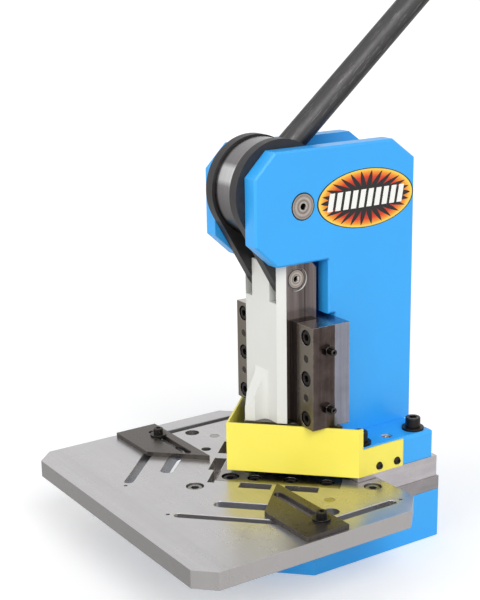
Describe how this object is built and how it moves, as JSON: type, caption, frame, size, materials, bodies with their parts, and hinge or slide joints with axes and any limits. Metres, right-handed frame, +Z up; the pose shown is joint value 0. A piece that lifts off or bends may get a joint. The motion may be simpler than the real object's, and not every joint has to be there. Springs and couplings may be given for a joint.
{
  "type": "corner notcher",
  "caption": "Hand lever corner notcher for sheet metal: eccentric-driven ram in guides cuts a right-angled notch over a flat table with slotted gauges",
  "frame": {"origin": "centre of the rectangle of bench bolt holes, on the underside of the base", "axes": "+X to the right of a person at the front, +Y away from them to the back, +Z up"},
  "size_m": [0.52, 0.7495, 1],
  "materials": {
    "blue_paint": "semi-gloss sky blue paint with light wear",
    "yellow_paint": "gloss yellow paint",
    "ram_finish": "pale grey ram with ground sides",
    "ground_steel": "ground steel with fine grinding lines",
    "guide_steel": "dark ground tool steel",
    "blade_steel": "ground and hardened tool steel",
    "holder_steel": "milled steel",
    "bush_bronze": "turned bronze",
    "pin_steel": "ground bright steel",
    "bright_screws": "bright zinc plated steel",
    "drum_steel": "turned and ground bright steel",
    "black_steel": "black finished steel",
    "black_oxide": "oiled black oxide on steel",
    "gauge_black": "satin black",
    "black_paint": "satin black paint",
    "cap_plastic": "matt black plastic"
  },
  "bodies": {
    "frame": {"base_box": "blue_paint", "base_plate": "ground_steel", "table": "ground_steel", "spacer_block": "ground_steel", "foot": "blue_paint", "side_plate_left": "blue_paint", "side_plate_right": "blue_paint", "back_web": "blue_paint", "bush_left": "bush_bronze", "bush_right": "bush_bronze", "foot_bolts": "black_oxide", "foot_washers": "black_oxide", "guard": "yellow_paint", "guard_screws": "black_oxide", "guide_back_plate": "guide_steel", "guide_plate_screws": "black_oxide", "keeper_left": "guide_steel", "keeper_right": "guide_steel", "keeper_screws": "black_oxide", "keeper_dowels": "pin_steel", "gib_left": "guide_steel", "gib_right": "guide_steel", "gib_set_screws": "black_oxide", "gib_lock_nuts": "black_oxide", "lower_blade_left": "blade_steel", "lower_blade_right": "blade_steel", "lower_blade_screws": "black_oxide", "corner_screw": "black_oxide", "table_screws": "bright_screws", "table_dowels": "pin_steel"},
    "lever": {"eccentric_hub": "drum_steel", "main_shaft": "pin_steel", "shaft_key": "pin_steel", "handle_tube": "black_paint", "handle_pin": "pin_steel", "handle_cap": "cap_plastic"},
    "ram": {"ram": "ram_finish", "ram_pin": "pin_steel", "punch_holder": "holder_steel", "holder_screws": "black_oxide", "upper_blade_left": "blade_steel", "upper_blade_right": "blade_steel", "upper_blade_screws": "black_oxide"},
    "links": {"link_left": "black_steel", "link_right": "black_steel"},
    "nut_left": {"gauge_nut_left": "black_oxide"},
    "gauge_left": {"gauge_left": "gauge_black"},
    "screw_left": {"gauge_screw_left": "bright_screws", "gauge_washer_left": "bright_screws"},
    "nut_right": {"gauge_nut_right": "black_oxide"},
    "gauge_right": {"gauge_right": "gauge_black"},
    "screw_right": {"gauge_screw_right": "bright_screws", "gauge_washer_right": "bright_screws"}
  },
  "joints": [
    {"name": "lever_turn", "type": "hinge", "parent": "frame", "child": "lever", "pos_m": [0, -0.0827, 0.5577], "axis": [1, 0, 0], "range_deg": [0, 60]},
    {"name": "ram_slide", "type": "slide", "parent": "frame", "child": "ram", "axis": [0, 0, 1], "range_m": [-0.0249, 0]},
    {"name": "link_swing", "type": "hinge", "parent": "ram", "child": "links", "pos_m": [0, -0.0827, 0.444], "axis": [1, 0, 0], "range_deg": [0, 3.3]},
    {"name": "nut_right_slide", "type": "slide", "parent": "frame", "child": "nut_right", "axis": [0, 1, 0], "range_m": [-0.006, 0.055]},
    {"name": "gauge_right_slide", "type": "slide", "parent": "nut_right", "child": "gauge_right", "axis": [1, 0, 0], "range_m": [-0.002, 0.105]},
    {"name": "screw_right_turn", "type": "hinge", "parent": "nut_right", "child": "screw_right", "pos_m": [0.22, -0.163, 0.148], "axis": [0, 0, 1], "range_deg": [0, 360]},
    {"name": "nut_left_slide", "type": "slide", "parent": "frame", "child": "nut_left", "axis": [0.7071, -0.7071, 0], "range_m": [-0.024, 0.176]},
    {"name": "gauge_left_slide", "type": "slide", "parent": "nut_left", "child": "gauge_left", "axis": [1, 0, 0], "range_m": [-0.09, 0.017]},
    {"name": "screw_left_turn", "type": "hinge", "parent": "nut_left", "child": "screw_left", "pos_m": [-0.202, -0.188, 0.148], "axis": [0, 0, 1], "range_deg": [0, 360]}
  ],
  "couplings": [
    {"joint": "ram_slide", "follows": "lever_turn", "m_per_rad": -0.023727},
    {"joint": "link_swing", "follows": "lever_turn", "ratio": 0.0543}
  ]
}
